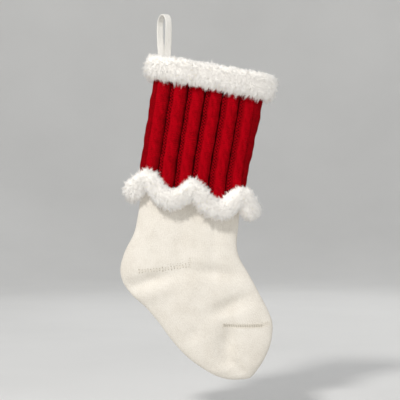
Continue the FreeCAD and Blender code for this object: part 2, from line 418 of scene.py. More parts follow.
def jersey_material():
    """Fine cream jersey: soft wales and courses under a light fuzz."""
    material, shader = new_material("cream jersey", 0.88, 0.12, (1.0, 0.98, 0.95))
    across, along, _ = cloth_axes(material)
    wales = sine(material, across, JERSEY_WALE)
    courses = sine(material, along, JERSEY_COURSE)
    fuzz = noise(material, 700.0, 4.0, 0.65)
    patches = noise(material, 45.0)
    knit = total(material, (wales, 0.22), (courses, 0.12))
    height = total(material, (knit, 1.0), (fuzz, 1.2))
    tone = total(material, (patches, 0.45), (knit, 0.10), (fuzz, 0.85))
    colour = colour_ramp(material, tone, [
        (0.40, (0.66, 0.61, 0.535)), (0.65, (0.765, 0.72, 0.645)), (0.90, (0.85, 0.81, 0.74))])
    link(material, colour, shader.inputs["Base Color"])
    bump(material, shader, height, 0.00030, 0.7)
    return material


def red_knit_material():
    """Red wool: painted light on the ribs, painted shade in the grooves, mottled, with a fine fuzz.
    """
    material, shader = new_material("red cable knit", 0.85, 0.012, (1.0, 0.2, 0.2))
    shader.inputs["Specular IOR Level"].default_value = 0.03
    # The third value here is the stored painted light and shade from the knit's relief, not a
    # height
    across, along, relief = cloth_axes(material)
    fuzz = noise(material, 1500.0, 4.0, 0.7)
    tufts = noise(material, 420.0, 4.0, 0.7)
    patches = noise(material, 130.0)
    # Painted light and shade, plus random mottling from the tufts and patches
    shade = total(material, (relief, 1.0), (tufts, 0.85), (patches, 0.40), start=-0.625)
    colour = colour_ramp(material, shade, [
        (0.08, (0.042, 0.0, 0.0008)), (0.28, (0.11, 0.0001, 0.0014)),
        (0.48, (0.18, 0.0002, 0.0024)), (0.68, (0.255, 0.0002, 0.0034)),
        (0.98, (0.41, 0.0003, 0.0060))])
    link(material, colour, shader.inputs["Base Color"])
    ply = sine(material, total(material, (across, 1.0), (along, 1.0)), WOOL_PLY)
    bump(material, shader, total(material, (fuzz, 1.0), (ply, 0.12)), 0.0004, 0.6)
    return material


FUR_GLOW = 0.23  # stands for light passed on inside the pile


def fur_material(name, colour):
    """Pile fibre of one pale tint, matt with a soft sheen and a faint glow."""
    material, shader = new_material(name, 0.85, 0.25, (1.0, 1.0, 1.0))
    shader.inputs["Base Color"].default_value = (*colour, 1)
    shader.inputs["Emission Color"].default_value = (1.0, 0.97, 0.93, 1)
    shader.inputs["Emission Strength"].default_value = FUR_GLOW
    bump(material, shader, noise(material, 2500.0, 2.0), 0.0001, 0.3)
    return material


def woven_material(name, low, high, pitch):
    """Plain woven tape or backing, from crossing waves over the cloth."""
    material, shader = new_material(name, 0.85, 0.15, (1.0, 0.98, 0.95))
    across, along, _ = cloth_axes(material)
    warp = sine(material, across, pitch)
    weft = sine(material, along, pitch * 1.2)
    weave = combine(material, "MULTIPLY", warp, weft)
    fuzz = noise(material, 1200.0, 3.0, 0.6)
    tone = total(material, (weave, 0.18), (fuzz, 1.0))
    colour = colour_ramp(material, tone, [(0.1, low), (0.9, high)])
    link(material, colour, shader.inputs["Base Color"])
    bump(material, shader, total(material, (weave, 1.0), (fuzz, 1.0)), 0.0003, 0.7)
    return material


def thread_material(name, low, high):
    """Plain thread with a slight change of tone."""
    material, shader = new_material(name, 0.6, 0.2, (1.0, 1.0, 1.0))
    fine = noise(material, 1800.0, 3.0)
    colour = colour_ramp(material, fine, [(0.3, low), (0.7, high)])
    link(material, colour, shader.inputs["Base Color"])
    bump(material, shader, fine, 0.0002, 0.5)
    return material


JERSEY = jersey_material()
RED_KNIT = red_knit_material()
TAPE = woven_material("cream tape", (0.84, 0.81, 0.75), (0.98, 0.96, 0.92), 0.9)
BACKING = woven_material("fur backing", (0.66, 0.63, 0.58), (0.82, 0.80, 0.76), 1.3)
CREAM_THREAD = thread_material("cream thread", (0.70, 0.64, 0.54), (0.86, 0.82, 0.74))
# Dark cream for eyelets and seam gaps: painted shade inside holes and gaps
HOLE_SHADE = thread_material("painted eyelet shade", (0.42, 0.38, 0.30), (0.58, 0.53, 0.44))
RED_THREAD = thread_material("red thread", (0.16, 0.0, 0.004), (0.34, 0.002, 0.010))
FUR_CORE = fur_material("fur root", (0.90, 0.885, 0.86))
FURS = [
    fur_material("fur white", (0.95, 0.925, 0.88)),
    # The warm tint is a random tone of some locks, and also painted shade on the rolls' undersides
    fur_material("fur warm tint and painted shade", (0.78, 0.745, 0.69)),
    fur_material("fur bright", (0.985, 0.97, 0.94)),
]
FUR_UNDERSIDE_SHADE = 1  # place of the darkest tint in the list, also put on the rolls' undersides as painted shade

# ---- camera, light, floor

# In metres. The camera looks straight at the front, as in the photo
LOW, HIGH = (np.array(corner) for corner in CAD_BOX)
CENTRE = (LOW + HIGH) / 2
CAMERA_SHIFT = np.array([0.0037, 0, -0.0043])
CAMERA_DISTANCE = 1.6
VIEW_MARGIN = 1.095
SENSOR = 36.0

# Name, place from the stocking's middle, size, power, colour
LIGHTS = [
    ("key light", (-1.5, -2.9, 2.6), 0.6, 113.0, (1.0, 0.985, 0.965)),
    ("fill light", (1.8, -1.6, 0.3), 1.6, 6.0, (0.96, 0.98, 1.0)),
    ("back light", (0.6, 2.0, 1.5), 1.6, 16.0, (1.0, 1.0, 1.0)),
]
SKY_COLOUR = (0.96, 0.97, 1.0)
SKY_STRENGTH = 0.40

FLOOR_DROP = 0.06  # floor below the toe
FLOOR_SIDES = 96
FLOOR_MIDDLE = 1.2
FLOOR_FLAT = 2.6  # radius where the floor starts to curve up
WALL_CURVE = 1.4
WALL_STEPS = 12
WALL_TOP = 3.4


def make_camera():
    """Camera straight in front, at the height of the stocking's middle."""
    data = bpy.data.cameras.new("camera")
    data.sensor_width = SENSOR
    data.lens = SENSOR * CAMERA_DISTANCE / ((HIGH[2] - LOW[2]) * VIEW_MARGIN)
    camera = bpy.data.objects.new("camera", data)
    camera.location = CENTRE + CAMERA_SHIFT - np.array([0, CAMERA_DISTANCE, 0])
    camera.rotation_euler = (math.pi / 2, 0, 0)
    bpy.context.collection.objects.link(camera)
    bpy.context.scene.camera = camera


def make_light(name, place, size, power, colour):
    """Round soft light, aimed at the middle of the stocking."""
    data = bpy.data.lights.new(name, "AREA")
    data.shape = "DISK"
    data.size = size
    data.energy = power
    data.color = colour
    light = bpy.data.objects.new(name, data)
    light.location = CENTRE + np.array(place)
    light.rotation_euler = (-Vector(place)).to_track_quat("-Z", "Y").to_euler()
    bpy.context.collection.objects.link(light)


def make_floor():
    """Pale round floor that curves up into a wall far away."""
    bend = np.arange(WALL_STEPS + 1) * math.pi / (2 * WALL_STEPS)
    wall = FLOOR_FLAT + WALL_CURVE
    radius = np.array([FLOOR_MIDDLE, *(FLOOR_FLAT + WALL_CURVE * np.sin(bend)), wall])[:, None]
    height = np.array([0, *(WALL_CURVE * (1 - np.cos(bend))), WALL_TOP])[:, None]
    around = np.arange(FLOOR_SIDES) * TURN / FLOOR_SIDES
    places = np.broadcast_arrays(radius * np.cos(around), radius * np.sin(around), height)
    vertices = np.concatenate([[[0, 0, 0]], np.stack(places, axis=-1).reshape(-1, 3)])
    vertices = vertices + np.array([CENTRE[0], CENTRE[1], LOW[2] - FLOOR_DROP])
    quads = grid_faces(len(radius), FLOOR_SIDES, closed_columns=True)[:, ::-1] + 1
    first = np.arange(FLOOR_SIDES)
    fan = np.stack([first * 0, first + 1, (first + 1) % FLOOR_SIDES + 1], axis=-1)
    floor = new_object("floor", vertices / MM, quads, fan)
    material, shader = new_material("pale floor", 0.9, 0.0, (1, 1, 1))
    stops = [(0.3, (0.70, 0.70, 0.69)), (0.7, (0.74, 0.74, 0.73))]
    tone = colour_ramp(material, noise(material, 2.0), stops)
    link(material, tone, shader.inputs["Base Color"])
    floor.data.materials.append(material)


def make_studio():
    """Pale floor and wall, three soft lights and an even sky."""
    make_floor()
    for light in LIGHTS:
        make_light(*light)
    world = bpy.data.worlds.new("sky")
    world.use_nodes = True
    background = world.node_tree.nodes["Background"]
    background.inputs["Color"].default_value = (*SKY_COLOUR, 1)
    background.inputs["Strength"].default_value = SKY_STRENGTH
    bpy.context.scene.world = world
    bpy.context.scene.view_settings.view_transform = "Standard"


make_camera()
make_studio()

# ---- sock

SOCK_ROWS = 300
SOCK_COLUMNS = 208
LINING_ROWS = 90
CLOTH_WIDTH = 340.0  # girth of the leg
LINING_END = 14.0  # lining stops this far above the toe's tip
TOE_TIP_DROP = np.array([0.9, 0, -1.8])
PRESSED_IN = 2.6  # sock under the sleeve, so that it stays below the grooves
DENT_STRENGTH = 1.9
BACK_DENTS = 0.7  # dents of the back, against those of the front
# Soft hollows and folds of the foot: x, z, half length, half width, direction in degrees, depth
DENTS = [
    (-31, -370, 40, 9.5, 17, -4.4),
    (-10, -384, 34, 9.0, 20, 0.8),
    (74, -356, 36, 10.0, -6, -3.3),
    (96, -402, 32, 11.5, 23, -3.7),
    (97, -416, 30, 7.0, 12, 0.6),
    (88, -458, 26, 12.5, 84, -4.8),
    (97, -486, 20, 8.0, -30, -1.8),
    (88, -492, 26, 7.0, 12, 0.9),
    (38, -444, 14, 10, 55, -1.4),
    (22, -318, 46, 13, 84, -0.8),
    (72, -300, 46, 11, 88, -0.9),
    (-16, -300, 36, 9, 80, 0.8),
    (34, -385, 46, 14, 60, 0.8),
]
EYELET_CORNERS = 6
EYELET_LIFT = 0.12
HEEL_PITCH = 4.1  # spacing of the stitches
TOE_PITCH = 2.5
TOE_SEAM_HALF_HEIGHT = 2.6


def cloth_relief(points):
    """Height of dents and soft waves at points of the sock, in millimetres."""
    x, y, z = points[..., 0], points[..., 1], points[..., 2]
    height = np.zeros_like(x)
    for dent_x, dent_z, long, wide, turn, depth in DENTS:
        angle = math.radians(turn)
        dx, dz = x - dent_x, z - dent_z
        u = (dx * math.cos(angle) + dz * math.sin(angle)) / long
        v = (-dx * math.sin(angle) + dz * math.cos(angle)) / wide
        height += DENT_STRENGTH * depth * np.exp(-u * u - v * v)
    height *= np.where(y < 0, 1.0, BACK_DENTS) * step_between(0.5, 8.0, np.abs(y))
    height += 0.30 * np.sin(x / 17.0 + z / 35.0 + 0.8 + 0.02 * y) * np.sin(z / 21.0 - x / 41.0)
    return height


def region_masks(centres):
    """Which faces of the sock belong to the heel pocket and to the toe cap."""
    flat = centres[:, [0, 2]]

    def side(start, end):
        """Positive on one side of a line, negative on the other."""
        run = np.asarray(end, float) - start
        rel = flat - start
        return run[0] * rel[:, 1] - run[1] * rel[:, 0]

    heel = (side(HEEL_VERTEX, HEEL_UPPER) > 0) & (side(HEEL_VERTEX, HEEL_LOWER) < 0)
    toe = (side(TOE_VERTEX, TOE_INSTEP) < 0) & (flat[:, 1] < TOE_VERTEX[1] + 8)
    for start, end in zip(TOE_GORE, TOE_GORE[1:]):
        low, high = min(start[1], end[1]), max(start[1], end[1])
        if end == TOE_GORE[-1]:
            low = -1e9
        between = (flat[:, 1] <= high) & (flat[:, 1] > low)
        toe &= ~between | (side(np.array(start), end) > 0)
    return heel, toe


def sock_points():
    """Points from the lining over the mouth to the toe, with their places on the cloth."""
    f = np.arange(SOCK_COLUMNS) / SOCK_COLUMNS
    end = ALONG[-1]
    inner = np.linspace(end - LINING_END, MOUTH_TOP + 0.6, LINING_ROWS)
    outer = np.linspace(MOUTH_TOP + 0.6, end, SOCK_ROWS)
    along = np.concatenate([inner, [MOUTH_TOP], outer])
    height = np.concatenate([np.full(LINING_ROWS, -LINING), [-LINING / 2], np.zeros(SOCK_ROWS)])
    relief = cloth_relief(skin(f[None, :], along[:, None], height[:, None]))
    relief *= (np.clip((along - 150.0) / 40.0, 0, 1) * np.clip((end - along) / 12.0, 0, 1))[:, None]
    under_sleeve = step_between(-6.0, 2.0, along) * (1 - step_between(152.0, 172.0, along))
    height = (height - PRESSED_IN * under_sleeve)[:, None] + relief
    points = skin(f[None, :], along[:, None], height)
    tip = points[-1].mean(axis=0) + TOE_TIP_DROP
    across, along = np.broadcast_arrays(f[None, :] * CLOTH_WIDTH, along[:, None])
    vertices = np.concatenate([points.reshape(-1, 3), tip[None, :]])
    return vertices, np.append(across, 0), np.append(along, end)


def whole_normals(vertices, *face_groups):
    """Normals of the whole skin, so that it stays smooth where it is split into pieces."""
    whole = new_object("sock whole", vertices, *face_groups)
    normals = np.zeros(len(vertices) * 3, np.float32)
    whole.data.vertex_normals.foreach_get("vector", normals)
    bpy.data.objects.remove(whole)
    return normals.reshape(-1, 3)


def make_sock():
    """Leg and foot with the lining inside, and the heel pocket and toe cap as their own pieces."""
    vertices, across, along = sock_points()
    rows = LINING_ROWS + 1 + SOCK_ROWS
    faces = grid_faces(rows, SOCK_COLUMNS, closed_columns=True)
    ring = (rows - 1) * SOCK_COLUMNS + np.arange(SOCK_COLUMNS)
    cap = np.stack([ring, np.roll(ring, -1), np.full(SOCK_COLUMNS, len(vertices) - 1)], axis=-1)
    normals = whole_normals(vertices, faces, cap)

    is_outer = faces[:, 0] >= (LINING_ROWS + 1) * SOCK_COLUMNS
    heel, toe = region_masks(vertices[faces].mean(axis=1))
    heel, toe = heel & is_outer, toe & is_outer
    for name, mask, caps, nodes in (
            ("sock_tube", ~heel & ~toe, [], ("sock_leg", "sock_foot")),
            ("heel_pocket", heel, [], ("heel_pocket",)),
            ("toe_cap", toe, [cap], ("toe_cap",))):
        groups = [faces[mask]] + caps
        used = np.unique(np.concatenate([group.ravel() for group in groups]))
        place = np.zeros(len(vertices), int)
        place[used] = np.arange(len(used))
        made = new_object(name, vertices[used], *[place[group] for group in groups])
        store_cloth(made, across[used], along[used])
        made.data.normals_split_custom_set_from_vertices(normals[used].tolist())
        finish_piece(made, "cream_jersey", JERSEY, *nodes)


def on_face(x, z, lift, side):
    """Point on the sock's front (side -1) or back (side 1) face."""
    base = np.array([x, side * face_depth(x, z), z])
    relief = float(cloth_relief(base[None, :])[0])
    return np.array([x, side * (abs(base[1]) + relief + lift), z])


def spaced(route, pitch):
    """Evenly spaced points along a line of (x, z) points, with the direction there."""
    route = np.asarray(route, float)
    knots = knots_along(route)
    at = np.arange(pitch / 2, knots[-1], pitch)
    x, z = np.interp(at, knots, route[:, 0]), np.interp(at, knots, route[:, 1])
    index = np.clip(np.searchsorted(knots, at) - 1, 0, len(knots) - 2)
    return list(zip(x, z, unit(np.diff(route, axis=0))[index]))


def face_line(points, count, lift, side):
    """Evenly spaced points on the face along a line of (x, z) points."""
    points = np.asarray(points, float)
    knots = knots_along(points)
    at = np.linspace(0, knots[-1], count)
    x, z = np.interp(at, knots, points[:, 0]), np.interp(at, knots, points[:, 1])
    return np.array([on_face(a, b, lift, side) for a, b in zip(x, z)])


def stitches(name, route, pitch, tall, slant, radius, nodes=(), material=CREAM_THREAD, rise=0.55):
    """Row of raised stitches across a line, on both faces."""
    lines = []
    for side in (-1, 1):
        for x, z, run in spaced(route, pitch):
            cross = np.array([-run[1], run[0]])
            lean = run * slant + cross * tall / 2
            low, high = np.array([x, z]) - lean, np.array([x, z]) + lean
            middle = on_face(x, z, rise, side)
            lines.append([on_face(*low, 0.0, side), middle, on_face(*high, 0.0, side)])
    made = threads(name, lines, radius)
    finish_piece(made, "thread", material, *nodes)


def eyelets(name, route, pitch, offset, radius):
    """Row of small dark discs of painted shade for open holes beside a line, on both faces, a
    little uneven as knitted.
    """
    vertices, faces = [], []
    for side in (-1, 1):
        for index, (x, z, run) in enumerate(spaced(route, pitch)):
            cross = np.array([-run[1], run[0]])
            centre = np.array([x, z]) + cross * (offset + 0.7 * math.sin(2.4 * index + offset))
            reach = radius * (0.8 + 0.25 * math.sin(1.7 * index))
            faces.append(np.arange(EYELET_CORNERS) + len(vertices))
            for corner in range(EYELET_CORNERS):
                spin = corner * TURN / EYELET_CORNERS
                spot = centre + reach * (run * math.cos(spin) + cross * math.sin(spin))
                vertices.append(on_face(*spot, EYELET_LIFT, side))
    made = new_object(name, np.array(vertices), np.array(faces))
    finish_piece(made, "thread", HOLE_SHADE)


def make_toe_seam():
    """Linked seam across the toe: two low ridges with upright stitches between them."""
    ridges = []
    for side in (-1, 1):
        for rise in (-TOE_SEAM_HALF_HEIGHT, TOE_SEAM_HALF_HEIGHT):
            route = [(x, z + rise) for x, z in TOE_SEAM]
            ridges.append(face_line(route, 80, -0.1, side))
    made = threads("toe_seam", ridges, 0.50, 8, 0.8)
    finish_piece(made, "thread", CREAM_THREAD, "toe_seam")
    stitches("toe_seam_linking", TOE_SEAM, TOE_PITCH, tall=5.0, slant=0.25, radius=0.42)
    # Dark threads in the gaps between the linking stitches: painted shade between the stitches
    gaps = [(x + TOE_PITCH / 2, z) for x, z in TOE_SEAM[:-1]]
    stitches("toe_seam_gaps", gaps, TOE_PITCH, tall=4.8, slant=0.25, radius=0.38,
             material=HOLE_SHADE, rise=0.25)
    eyelets("toe_seam_upper_eyelets", TOE_SEAM, 3.7, offset=3.6, radius=0.5)


def make_gores():
    """Stitches along the heel's gore, its corner, and the toe's gore, with eyelets as dark discs of
    painted shade.
    """
    heel = [HEEL_VERTEX + np.array([-3, 0]), (0, -350.6), HEEL_UPPER]
    stitches("heel_gore_stitches", heel, HEEL_PITCH, tall=3.6, slant=0.9, radius=0.50,
             nodes=("heel_gore_stitches",))
    eyelets("heel_gore_eyelets", heel, HEEL_PITCH, offset=2.0, radius=1.0)
    eyelets("heel_gore_lower_eyelets", heel, HEEL_PITCH, offset=-1.9, radius=0.9)
    above = [(4.0, -344.5), (31.0, -341.5)]
    eyelets("heel_gore_upper_eyelets", above, 3.4, offset=0.0, radius=0.6)
    tick = [(37.0, -349.0), (37.0, -333.0)]
    stitches("heel_tick", tick, 3.0, tall=2.4, slant=0.4, radius=0.38)
    eyelets("heel_tick_eyelets", tick, 3.0, offset=1.6, radius=0.8)
    corner = [(33.0, -341.0), (55.0, -343.5)]
    eyelets("heel_corner_eyelets", corner, 3.2, offset=0.0, radius=0.5)
    stitches("toe_gore_stitches", TOE_GORE, 3.6, tall=1.8, slant=0.5, radius=0.27,
             nodes=("toe_gore_stitches",))
    toe = [(88.0, -438.0), (93.0, -452.0), (104.0, -468.0)]
    eyelets("toe_gore_eyelets", toe, 3.4, offset=2.0, radius=0.5)


# ---- cable-knit sleeve

RIB_PITCH = 25.9
RIB_START = 4.2  # first groove, from the middle of the face towards the heel side
RIB_DRIFT = 3.5  # how far the ribs lean over the sleeve's length
RIB_MIDDLE = 13.4
GROOVE_DEPTH = 2.6
CABLE_LENGTH = 60.0  # one whole turn of the two strands
WALE_PITCH = 3.7
COURSE_PITCH = 2.9
PURL_PITCH = 4.4
PANEL_ROWS = 330
PANEL_COLUMNS = 300
SEAM_F = 1.6 / CLOTH_WIDTH  # gap between a panel's edge and the middle of the seam
SEAM_HALF_WIDTH = 2.4
RELIEF_LOW = -2.9  # range of the knit's painted light and shade
RELIEF_HIGH = 3.6
SLEEVE_TOP = MOUTH_TOP + 1.0
EDGE_BELOW_HEM = 3.0


def hem_middle(f):
    """Level of the hem's middle line: three humps and two valleys on each face."""
    from_heel = 0.5 - np.abs((np.asarray(f) % 1.0) - 0.5)
    places, levels = np.array(HEM_LINE).T
    low = np.clip(np.searchsorted(places, from_heel, side="right") - 1, 0, len(places) - 2)
    t = (from_heel - places[low]) / (places[low + 1] - places[low])
    start, end = levels[low], levels[low + 1]
    hump, valley = np.minimum(start, end), np.maximum(start, end)
    from_hump = np.where(start < end, t, 1 - t)
    return hump + (valley - hump) * (1 - np.cos(math.pi * from_hump ** 0.78)) / 2


def hem_flare(f, along):
    """How far the free edge stands away from the sock near the hem."""
    lobe = (hem_middle(f) - HEM_LEVEL + HEM_WAVE) / (2 * HEM_WAVE)
    toe_side = np.exp(-(((np.asarray(f) % 1.0) - 0.5) / 0.055) ** 2)
    reach = 3.6 + 2.4 * lobe + 5.0 * toe_side
    return reach * step_between(-34.0, 2.0, along - hem_middle(f))


def cable_height(m, phase):
    """Two strands that cross over each other down a rib."""
    cable = np.zeros_like(m)
    for sign in (1, -1):
        centre = RIB_MIDDLE + 1.6 + sign * 4.0 * np.sin(phase)
        over = 0.55 + 0.45 * sign * np.cos(phase)
        cable = np.maximum(cable, over * np.exp(-((m - centre) / 3.0) ** 2))
    return cable


def stitch_height(m, along, phase):
    """Columns of small leaning knit stitches on a rib."""
    p = np.abs(np.mod(m / WALE_PITCH, 1.0) - 0.5) * 2
    q = along / COURSE_PITCH + (0.9 + 0.5 * np.cos(phase)) * p
    wale = np.sin(math.pi * np.clip(p, 0.02, 0.98)) ** 0.6
    return wale * (0.6 + 0.4 * np.cos(TURN * q))


def knit_relief(across, along):
    """Height of the knit and its painted light and shade: grooves, ladders of purl stitches, ribs
    with a cable.
    """
    shifted = across + RIB_START
    rib = np.floor(shifted / RIB_PITCH)
    wander = 0.30 * np.sin(along / 5.3 + rib * 1.7) + 0.22 * np.sin(along / 2.4 + rib * 2.9)
    m = np.mod(shifted + wander, RIB_PITCH)  # distance past the groove
    groove = -GROOVE_DEPTH * np.exp(-(np.minimum(m, RIB_PITCH - m) / 0.85) ** 2)
    ladder = step_between(0.8, 1.8, m) * (1 - step_between(5.6, 7.4, m))
    raised = step_between(5.6, 8.2, m) * (1 - step_between(23.8, 26.3, m))
    dome = raised * (0.3 + 1.9 * np.clip(1 - ((m - RIB_MIDDLE) / 13.0) ** 2, 0, 1))
    phase = TURN * along / CABLE_LENGTH + rib * 0.55
    cable, stitch = cable_height(m, phase), stitch_height(m, along, phase)
    purl = np.cos(TURN * along / PURL_PITCH) * np.cos(math.pi * (m - 2.7) / 2.3)
    relief = groove + dome + raised * (0.70 * cable + 0.95 * stitch) + ladder * (purl + 0.45)
    # Painted highlight along each rib's edge past the ladder, and painted shade over its middle and
    # far side
    painted_lit_edge = np.exp(-((m - 9.4) / 1.4) ** 2) - 0.6 * step_between(14.0, 22.0, m)
    # Shade follows the relief: painted shade in grooves, ladders and between stitches, painted
    # light on ribs
    shade = relief + raised * (0.4 * cable + 1.3 * stitch - 0.8 + painted_lit_edge)
    shade = shade + ladder * (2.8 * purl + 0.3)
    edge = np.maximum(step_between(67.0, 71.0, across), step_between(73.0, 77.0, -across))
    return relief * (1 - edge) + 1.4 * edge, shade * (1 - edge) + 0.9 * edge


def side_bulge(f, along):
    """Slow waves of the knit where it turns round the sides of the leg."""
    wave = np.sin(TURN * along / 43.0 + 0.8) + 0.5 * np.sin(TURN * along / 19.0)
    return 0.55 * wave * np.exp(-(side_distance(f) * CLOTH_WIDTH / 9.0) ** 2)


def sleeve_along(f, t):
    """Level on the sleeve, from the mouth (t = 0) to the wavy lower edge (t = 1)."""
    return SLEEVE_TOP + t * (hem_middle(f) + EDGE_BELOW_HEM - SLEEVE_TOP)


def make_sleeve_panel(name, f_start, f_end):
    """Knitted half of the sleeve, between the two side seams."""
    f = np.linspace(f_start + SEAM_F, f_end - SEAM_F, PANEL_COLUMNS)[None, :]
    t = np.linspace(0, 1, PANEL_ROWS)[:, None]
    f, t = np.broadcast_arrays(f, t)
    along = sleeve_along(f, t)
    taper = 1.035 - 0.035 * t
    across = (f - (f_start + f_end) / 2) * CLOTH_WIDTH * taper - RIB_DRIFT * along / 145.0
    relief, shade = knit_relief(across, along)
    relief = relief * (0.35 + 0.65 * step_between(0.5, 6.0, side_distance(f) * CLOTH_WIDTH))
    sag = 0.5 * np.sin(along / 19.0 + f * 23.0) * np.sin(f * 31.0 + along / 47.0)
    outset = SLEEVE_STACK - 0.7 + relief + sag + side_bulge(f, along) + hem_flare(f, along)
    made = new_object(name, skin(f, along, outset), grid_faces(PANEL_ROWS, PANEL_COLUMNS))
    # Painted light and shade from the relief, scaled from 0 to 1 for the colour
    shade = (shade - RELIEF_LOW) / (RELIEF_HIGH - RELIEF_LOW)
    store_cloth(made, across, along, shade)
    finish_piece(made, "red_knit", RED_KNIT, name)


def make_side_seam(name, f_centre):
    """Flat ladder of linking stitches where the two panels meet."""
    rows, columns = 420, 13
    t = np.linspace(0, 1, rows)[:, None]
    over = np.linspace(-1, 1, columns)[None, :]
    f = f_centre + over * SEAM_HALF_WIDTH / CLOTH_WIDTH
    along = sleeve_along(f, t)
    ridge = 0.9 * (1 - over ** 2) + 0.35 * np.cos(TURN * along / 2.6) * (1 - over ** 2)
    dip = -0.5 * np.exp(-(over / 0.22) ** 2)
    outset = SLEEVE_STACK - 0.75 + ridge + dip + side_bulge(f, along) + hem_flare(f, along)
    made = new_object(name, skin(f, along, outset), grid_faces(rows, columns))
    # Shade lighter on the seam's ridge: painted light from its relief
    store_cloth(made, over * SEAM_HALF_WIDTH, along, 0.42 + 0.25 * ridge)
    finish_piece(made, "red_knit", RED_KNIT, name)


def make_hem_binding():
    """Overlock threads round the sleeve's lower edge, under the fur."""
    count = 230
    f = np.arange(count) / count
    lines = []
    for place in f:
        middle = float(hem_middle(place)) + EDGE_BELOW_HEM
        outset = SLEEVE_STACK + float(hem_flare(place, middle))
        reach = [(-2.6, 0.9), (0.6, 1.1), (1.4, -0.4), (0.4, -1.5), (-2.2, -1.3)]
        lines.append([skin(place + slide / CLOTH_WIDTH, middle + down, outset + lift)
                      for slide, (down, lift) in zip((0, 0.4, 0.8, 1.2, 1.6), reach)])
    made = threads("hem_binding", lines, 0.45)
    finish_piece(made, "red_knit", RED_THREAD, "hem_binding")


# ---- mouth, tape

def make_mouth_binding():
    """Flat woven binding round the mouth, whipped on with thread."""
    columns, sides = 240, 14
    f = (np.arange(columns) / columns)[:, None]
    angle = (np.arange(sides) * TURN / sides)[None, :]
    outset = 0.6 + 3.2 * np.cos(angle)
    along = MOUTH_TOP - 0.4 + 1.3 * np.sin(angle) + 0.12 * np.sin(f * TURN * 60)
    points = skin(f, along, outset)
    made = new_object("mouth_binding", points, grid_faces(columns, sides, True, True))
    store_cloth(made, f * CLOTH_WIDTH, angle * 2.4)
    finish_piece(made, "backing", BACKING, "mouth_binding")
    lines = []
    for place in np.arange(0, 1, 4.2 / CLOTH_WIDTH):
        route = [(-3.0, 1.6), (-2.0, -1.5), (0.6, -2.0), (3.0, -1.7)]
        lines.append([skin(place + i * 0.5 / CLOTH_WIDTH, MOUTH_TOP + down, 0.6 + out)
                      for i, (out, down) in enumerate(route)])
    made = threads("mouth_whip_stitches", lines, 0.32)
    finish_piece(made, "thread", CREAM_THREAD)


TAPE_WIDTH = 9.5
TAPE_THICKNESS = 2.2
EYE_TURN = 62.0  # turn of the tape's width, in degrees
EYE_RADIUS = 13.5
EYE_CENTRE_Z = -6.7
TAPE_LEGS = [  # height, heel-side x, toe-side x, half spread in y, turn
    (-77.0, 1.0, 3.6, 1.2, 90.0),
    (-64.0, 0.2, 4.2, 1.2, 90.0),
    (-52.7, -3.9, 4.8, 1.2, 90.0),
    (-42.0, -4.7, 5.0, 2.2, 85.0),
    (-31.0, -5.6, 5.8, 5.4, 76.0),
    (-19.0, -6.2, 6.2, 9.6, 67.0),
]


def tape_route():
    """Centre line of the tape and the turn of its width, from one sewn end to the other."""
    heel_leg = [((heel_x, spread, z), turn) for z, heel_x, toe_x, spread, turn in TAPE_LEGS]
    toe_leg = [((toe_x, -spread, z), turn) for z, heel_x, toe_x, spread, turn in TAPE_LEGS]
    plane = np.array([math.cos(math.radians(EYE_TURN)), -math.sin(math.radians(EYE_TURN))])
    eye = []
    for degrees in range(180, -1, -15):
        angle = math.radians(degrees)
        x, y = plane * EYE_RADIUS * math.cos(angle)
        eye.append(((x, y, EYE_CENTRE_Z + EYE_RADIUS * math.sin(angle)), EYE_TURN))
    centres, turns = zip(*heel_leg, *eye, *reversed(toe_leg))
    return np.array(centres), np.array(turns)


def make_tape():
    """One flat tape, folded into the eye, with soft rolled edges."""
    centres, turns = tape_route()
    knots = knots_along(centres)
    rows, sides = 420, 28
    at = np.linspace(0, knots[-1], rows)
    centre = smooth(knots, centres, at)
    turn = np.radians(smooth(knots, turns, at))
    wide = np.stack([np.sin(turn), np.cos(turn), np.zeros(rows)], axis=-1)
    thick = unit(np.cross(unit(np.gradient(centre, axis=0)), wide))
    angle = np.arange(sides) * TURN / sides
    across = oval(angle, 0.55)[0] * TAPE_WIDTH / 2
    height = oval(angle, 0.6)[1] * TAPE_THICKNESS / 2
    selvedge = 1 + 0.18 * np.exp(-((np.abs(across) - 3.6) / 0.7) ** 2)
    ripple = 1 + 0.012 * np.sin(at / 3.1) + 0.010 * np.sin(at / 1.3 + 1)
    points = centre[:, None, :] + wide[:, None, :] * (across[None, :] * ripple[:, None])[..., None]
    points = points + thick[:, None, :] * (height * selvedge)[None, :, None]
    caps = np.arange(sides)[None, :]
    made = new_object("loop_tape", points, grid_faces(rows, sides, closed_columns=True),
                      np.concatenate([caps[:, ::-1], caps + (rows - 1) * sides]))
    store_cloth(made, across[None, :], at[:, None])
    finish_piece(made, "tape", TAPE, "hanging_loop", "loop_tail", body=None)
    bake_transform(made)


def make_bar_tack():
    """Bar of thread that sews the tape's end to the side seam."""
    low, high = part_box("loop_bar_tack")
    low, high = np.array(low) / MM, np.array(high) / MM
    lines = []
    for x in np.arange(low[0], high[0], 0.62):
        front = low[1] - 1.2
        lines.append([(x, front + 0.5, low[2]), (x + 0.25, front, (low[2] + high[2]) / 2),
                      (x + 0.5, front + 0.5, high[2])])
    made = threads("loop_bar_tack", lines, 0.34)
    finish_piece(made, "thread", CREAM_THREAD, "loop_bar_tack")


# ---- fur

STRANDS_PER_PIECE = 19000
STRAND_RINGS = ((0.0, 0.20), (0.55, 0.15))  # place along the strand, radius
STRAND_QUADS = np.array([[c, (c + 1) % 3, 3 + (c + 1) % 3, 3 + c] for c in range(3)])
STRAND_ENDS = np.array([[3, 4, 6], [4, 5, 6], [5, 3, 6], [2, 1, 0]])
LOCK_CELL = 2.6  # spacing of the locks
LOCK_TABLE = (101, 103)  # cells after which the locks repeat
LOCKS = LOCK_TABLE[0] * LOCK_TABLE[1]
FUR_AROUND = 400.0  # way round the leg, for spacing the locks
FUR_OVER = 14.0  # way over the roll, for each radian


